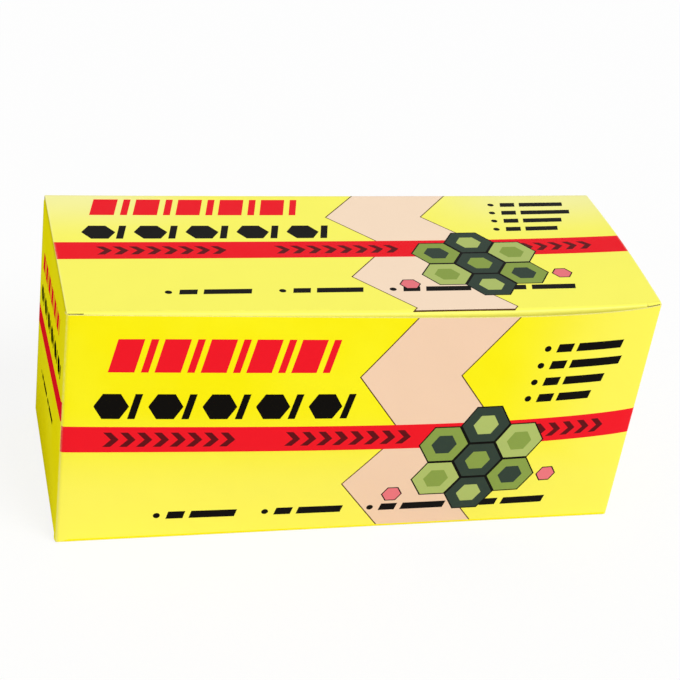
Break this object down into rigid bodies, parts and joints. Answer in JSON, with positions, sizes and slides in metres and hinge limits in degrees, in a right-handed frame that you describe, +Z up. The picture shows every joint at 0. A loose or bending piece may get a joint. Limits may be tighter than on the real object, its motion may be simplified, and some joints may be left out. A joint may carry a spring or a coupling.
{
  "type": "insect trap carton",
  "caption": "Tuck-top paperboard carton of sticky-ribbon insect traps, with a hinged lid, a tuck flap, dust flaps and a trap that lifts out and opens.",
  "frame": {"origin": "middle of the footprint, on the surface that the carton stands on", "axes": "+X along the carton's length to the right of its front, +Y from the front to the back, +Z up"},
  "size_m": [0.1578, 0.0645, 0.0724],
  "materials": {
    "printed_board": "gloss",
    "grey_board": "matte",
    "tube_paper": "satin",
    "cap_card": "satin",
    "kraft_card": "matte",
    "sticky_ribbon": "gloss",
    "tack_brass": "polished"
  },
  "bodies": {
    "carton": {"front_panel": "printed_board", "back_panel": "printed_board", "left_panel": "printed_board", "right_panel": "printed_board", "glue_flap": "grey_board", "base_outer_flap": "printed_board", "base_inner_flap": "grey_board", "base_dust_flap_left": "printed_board", "base_dust_flap_right": "printed_board", "front_trap_1_tube": "tube_paper", "front_trap_1_cap": "cap_card", "front_trap_1_tack": "tack_brass", "front_trap_2_tube": "tube_paper", "front_trap_2_cap": "cap_card", "front_trap_2_tack": "tack_brass", "front_trap_3_tube": "tube_paper", "front_trap_3_cap": "cap_card", "front_trap_3_tack": "tack_brass", "front_trap_5_tube": "tube_paper", "front_trap_5_cap": "cap_card", "front_trap_5_tack": "tack_brass", "front_trap_6_tube": "tube_paper", "front_trap_6_cap": "cap_card", "front_trap_6_tack": "tack_brass", "front_trap_7_tube": "tube_paper", "front_trap_7_cap": "cap_card", "front_trap_7_tack": "tack_brass", "front_trap_8_tube": "tube_paper", "front_trap_8_cap": "cap_card", "front_trap_8_tack": "tack_brass", "middle_trap_1": "tube_paper", "middle_trap_2": "tube_paper", "middle_trap_3": "tube_paper", "middle_trap_4": "tube_paper", "middle_trap_5": "tube_paper", "middle_trap_6": "tube_paper", "middle_trap_7": "tube_paper", "middle_trap_8": "tube_paper", "back_trap_1": "tube_paper", "back_trap_2": "tube_paper", "back_trap_3": "tube_paper", "back_trap_4": "tube_paper", "back_trap_5": "tube_paper", "back_trap_6": "tube_paper", "back_trap_7": "tube_paper", "back_trap_8": "tube_paper"},
    "lid": {"lid_panel": "printed_board"},
    "tuck": {"tuck_flap": "printed_board"},
    "dust_left": {"dust_flap_left": "printed_board"},
    "dust_right": {"dust_flap_right": "printed_board"},
    "trap": {"front_trap_4_tube": "tube_paper", "front_trap_4_base_cap": "grey_board", "front_trap_4_ribbon_roll": "sticky_ribbon"},
    "trap_pull": {"front_trap_4_ribbon_leader": "sticky_ribbon", "front_trap_4_cap": "cap_card", "front_trap_4_hang_tab": "kraft_card", "front_trap_4_tack": "tack_brass"}
  },
  "joints": [
    {"name": "lid_hinge", "type": "hinge", "parent": "carton", "child": "lid", "pos_m": [0, 0.03, 0.07185], "axis": [-1, 0, 0], "range_deg": [0, 150]},
    {"name": "tuck_crease", "type": "hinge", "parent": "lid", "child": "tuck", "pos_m": [0, -0.02835, 0.0719], "axis": [1, 0, 0], "range_deg": [0, 45]},
    {"name": "dust_crease_left", "type": "hinge", "parent": "carton", "child": "dust_left", "pos_m": [-0.07848, 0, 0.0718], "axis": [0, -1, 0], "range_deg": [0, 75]},
    {"name": "dust_crease_right", "type": "hinge", "parent": "carton", "child": "dust_right", "pos_m": [0.07848, 0, 0.0718], "axis": [0, 1, 0], "range_deg": [0, 75]},
    {"name": "trap_lift", "type": "slide", "parent": "carton", "child": "trap", "axis": [0, 0, 1], "range_m": [0, 0.072]},
    {"name": "ribbon_pull", "type": "slide", "parent": "trap", "child": "trap_pull", "axis": [0, 0, 1], "range_m": [0, 0.025]}
  ],
  "couplings": [
    {"joint": "tuck_crease", "follows": "lid_hinge", "ratio": 0.3},
    {"joint": "dust_crease_left", "follows": "lid_hinge", "ratio": 0.5},
    {"joint": "dust_crease_right", "follows": "lid_hinge", "ratio": 0.5},
    {"joint": "trap_lift", "follows": "lid_hinge", "m_per_rad": 0.0275},
    {"joint": "ribbon_pull", "follows": "lid_hinge", "m_per_rad": 0.0095}
  ]
}
